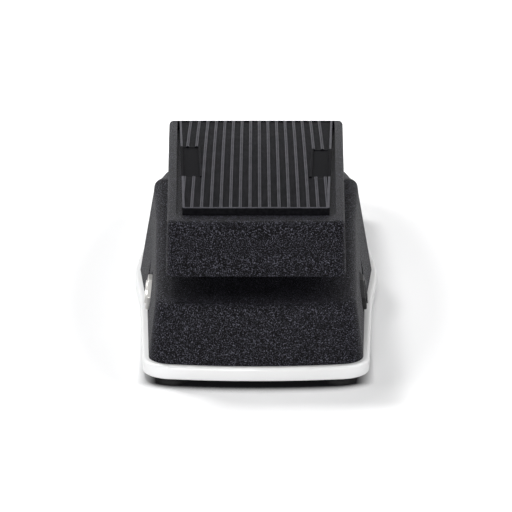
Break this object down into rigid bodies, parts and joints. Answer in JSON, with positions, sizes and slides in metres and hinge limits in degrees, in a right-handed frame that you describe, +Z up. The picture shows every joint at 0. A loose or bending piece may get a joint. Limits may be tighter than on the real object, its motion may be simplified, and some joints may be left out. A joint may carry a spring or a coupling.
{
  "type": "volume pedal",
  "caption": "Foot-operated rocker volume pedal: textured black housing and treadle with a ribbed rubber pad, on a white base tray with rubber feet; side jack sockets.",
  "frame": {"origin": "middle of the footprint, on the floor under the rubber feet", "axes": "+X across the pedal to the output jack's side, +Y along it from the toe end to the heel end, +Z up"},
  "size_m": [0.1012, 0.252, 0.066],
  "materials": {
    "textured_black_paint": "wrinkle-textured powder coat",
    "white_paint": "smooth semi-gloss paint",
    "tread_rubber": "ribbed, satin",
    "black_rubber": "matte",
    "zinc_steel": "zinc plated",
    "plated_steel": "nickel plated",
    "nickel": "polished nickel",
    "black_plastic": "moulded",
    "white_nylon": "moulded nylon",
    "acetal": "moulded acetal",
    "phenolic": "phenolic board",
    "brass": "tinned brass",
    "wire_red": "insulation",
    "wire_white": "insulation",
    "wire_black": "insulation"
  },
  "bodies": {
    "base": {"base_tray": "white_paint", "bearing_cap_left": "textured_black_paint", "bearing_cap_right": "textured_black_paint", "bearing_cap_screws": "zinc_steel", "bracket_screws": "zinc_steel", "bumper_heel_left": "black_rubber", "bumper_heel_right": "black_rubber", "bumper_toe_left": "black_rubber", "bumper_toe_right": "black_rubber", "foot_heel_left": "black_rubber", "foot_heel_right": "black_rubber", "foot_screws": "zinc_steel", "foot_toe_left": "black_rubber", "foot_toe_right": "black_rubber", "friction_washers": "zinc_steel", "guide_screw": "zinc_steel", "housing": "textured_black_paint", "input_jack_fibre_washer": "phenolic", "input_jack_frame": "nickel", "input_jack_nut": "nickel", "input_jack_stack": "phenolic", "input_jack_tip_spring": "brass", "input_jack_washer": "nickel", "input_tip_wire": "wire_red", "jack_ground_wire": "wire_black", "output_jack_fibre_washer": "phenolic", "output_jack_frame": "black_plastic", "output_jack_nut": "black_plastic", "output_jack_stack": "phenolic", "output_jack_tip_spring": "brass", "output_jack_washer": "black_plastic", "output_tip_wire": "wire_white", "pivot_nut": "zinc_steel", "pivot_shaft": "zinc_steel", "pot_bracket": "plated_steel", "pot_case": "plated_steel", "pot_ground_wire": "wire_black", "pot_neck": "brass", "pot_nut": "plated_steel", "pot_terminals": "brass", "pot_wafer": "phenolic", "pot_washer": "plated_steel", "rack_guide": "white_nylon"},
    "treadle": {"treadle": "textured_black_paint", "tread_pad": "tread_rubber", "pivot_bushing_left": "white_nylon", "pivot_bushing_right": "white_nylon", "rack_pin": "zinc_steel", "rack_pin_clips": "zinc_steel"},
    "rack": {"rack": "acetal"},
    "pot_rotor": {"pinion": "acetal", "pinion_set_screw": "zinc_steel", "pot_shaft": "plated_steel"}
  },
  "joints": [
    {"name": "treadle_pivot", "type": "hinge", "parent": "base", "child": "treadle", "pos_m": [0, 0, 0.038], "axis": [1, 0, 0], "range_deg": [-5, 4]},
    {"name": "rack_slide", "type": "slide", "parent": "base", "child": "rack", "axis": [0, 0, 1], "range_m": [-0.0056, 0.0069]},
    {"name": "pot_turn", "type": "hinge", "parent": "base", "child": "pot_rotor", "pos_m": [0, -0.0863, 0.022], "axis": [1, 0, 0], "range_deg": [-57, 71]}
  ],
  "couplings": [
    {"joint": "rack_slide", "follows": "treadle_pivot", "m_per_rad": -0.0777},
    {"joint": "pot_turn", "follows": "treadle_pivot", "ratio": -13.875}
  ]
}
